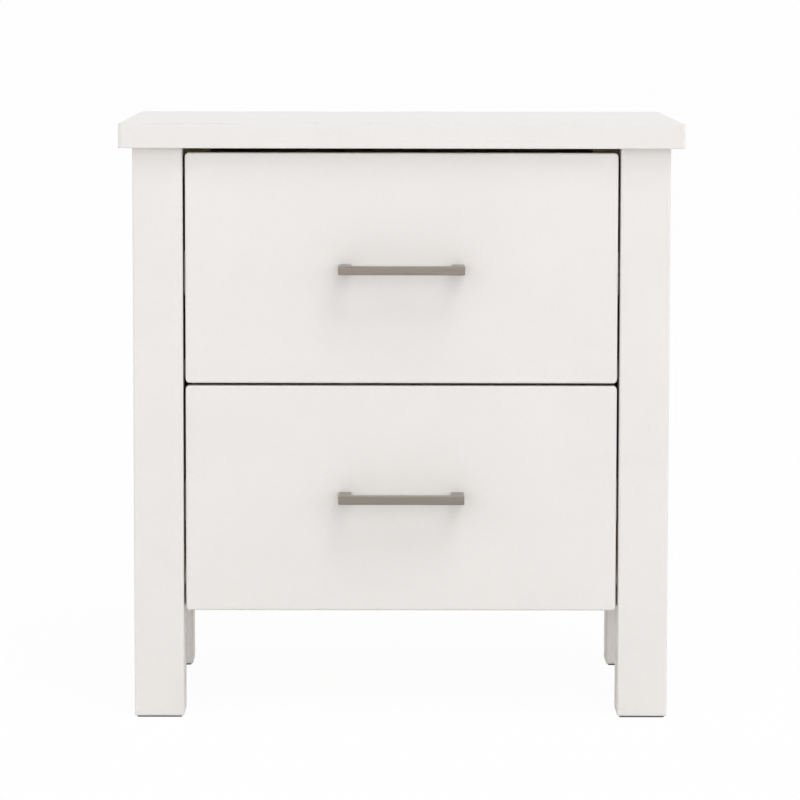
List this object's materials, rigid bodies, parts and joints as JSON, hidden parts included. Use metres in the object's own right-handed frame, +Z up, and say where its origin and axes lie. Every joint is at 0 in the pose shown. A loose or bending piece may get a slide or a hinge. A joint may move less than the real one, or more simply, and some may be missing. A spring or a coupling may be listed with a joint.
{
  "type": "nightstand with drawers",
  "caption": "Square-legged nightstand with an overhanging top and inset drawers that run on ball-bearing slides and open by square bar pulls.",
  "frame": {"origin": "on the floor, at the centre of the bounding box of the whole piece with its drawers closed", "axes": "+Z up, -Y the way the drawers open, +X to the right of a person who faces the drawer fronts"},
  "size_m": [0.574, 0.424, 0.61],
  "materials": {
    "white_paint": "sprayed satin white paint over fibreboard and solid wood",
    "drawer_box_wood": "clear-lacquered birch board",
    "frame_wood": "planed unfinished poplar and pine",
    "slide_steel": "rolled sheet steel with clear zinc plating",
    "screw_steel": "zinc-plated screw",
    "brushed_nickel": "brushed satin nickel plating",
    "felt_pad": "pressed dark felt",
    "stop_rubber": "soft translucent rubber"
  },
  "bodies": {
    "case": {"back_panel": "white_paint", "drawer_divider_rail": "white_paint", "front_bottom_rail": "white_paint", "front_left_corner_block": "frame_wood", "front_left_foot_pad": "felt_pad", "front_left_leg": "white_paint", "front_right_corner_block": "frame_wood", "front_right_foot_pad": "felt_pad", "front_right_leg": "white_paint", "left_side_panel": "white_paint", "lower_left_slide_outer": "slide_steel", "lower_left_slide_runner": "frame_wood", "lower_left_stop_button": "stop_rubber", "lower_right_slide_outer": "slide_steel", "lower_right_slide_runner": "frame_wood", "lower_right_stop_button": "stop_rubber", "rear_bottom_rail": "frame_wood", "rear_left_corner_block": "frame_wood", "rear_left_foot_pad": "felt_pad", "rear_left_leg": "white_paint", "rear_right_corner_block": "frame_wood", "rear_right_foot_pad": "felt_pad", "rear_right_leg": "white_paint", "rear_top_rail": "frame_wood", "right_side_panel": "white_paint", "top_panel": "white_paint", "upper_left_slide_outer": "slide_steel", "upper_left_slide_runner": "frame_wood", "upper_left_stop_button": "stop_rubber", "upper_right_slide_outer": "slide_steel", "upper_right_slide_runner": "frame_wood", "upper_right_stop_button": "stop_rubber"},
    "upper_drawer": {"upper_drawer_back": "drawer_box_wood", "upper_drawer_bottom": "drawer_box_wood", "upper_drawer_front": "white_paint", "upper_drawer_left_side": "drawer_box_wood", "upper_drawer_pull": "brushed_nickel", "upper_drawer_right_side": "drawer_box_wood", "upper_left_pull_screw": "screw_steel", "upper_left_slide_inner": "slide_steel", "upper_right_pull_screw": "screw_steel", "upper_right_slide_inner": "slide_steel"},
    "upper_slide_middles": {"upper_left_slide_middle": "slide_steel", "upper_right_slide_middle": "slide_steel"},
    "lower_drawer": {"lower_drawer_back": "drawer_box_wood", "lower_drawer_bottom": "drawer_box_wood", "lower_drawer_front": "white_paint", "lower_drawer_left_side": "drawer_box_wood", "lower_drawer_pull": "brushed_nickel", "lower_drawer_right_side": "drawer_box_wood", "lower_left_pull_screw": "screw_steel", "lower_left_slide_inner": "slide_steel", "lower_right_pull_screw": "screw_steel", "lower_right_slide_inner": "slide_steel"},
    "lower_slide_middles": {"lower_left_slide_middle": "slide_steel", "lower_right_slide_middle": "slide_steel"}
  },
  "joints": [
    {"name": "upper_drawer_slide", "type": "slide", "parent": "case", "child": "upper_drawer", "axis": [0, -1, 0], "range_m": [0, 0.28]},
    {"name": "upper_middle_slide", "type": "slide", "parent": "case", "child": "upper_slide_middles", "axis": [0, -1, 0], "range_m": [0, 0.14]},
    {"name": "lower_drawer_slide", "type": "slide", "parent": "case", "child": "lower_drawer", "axis": [0, -1, 0], "range_m": [0, 0.28]},
    {"name": "lower_middle_slide", "type": "slide", "parent": "case", "child": "lower_slide_middles", "axis": [0, -1, 0], "range_m": [0, 0.14]}
  ],
  "couplings": [
    {"joint": "upper_middle_slide", "follows": "upper_drawer_slide", "ratio": 0.5},
    {"joint": "lower_middle_slide", "follows": "lower_drawer_slide", "ratio": 0.5}
  ]
}
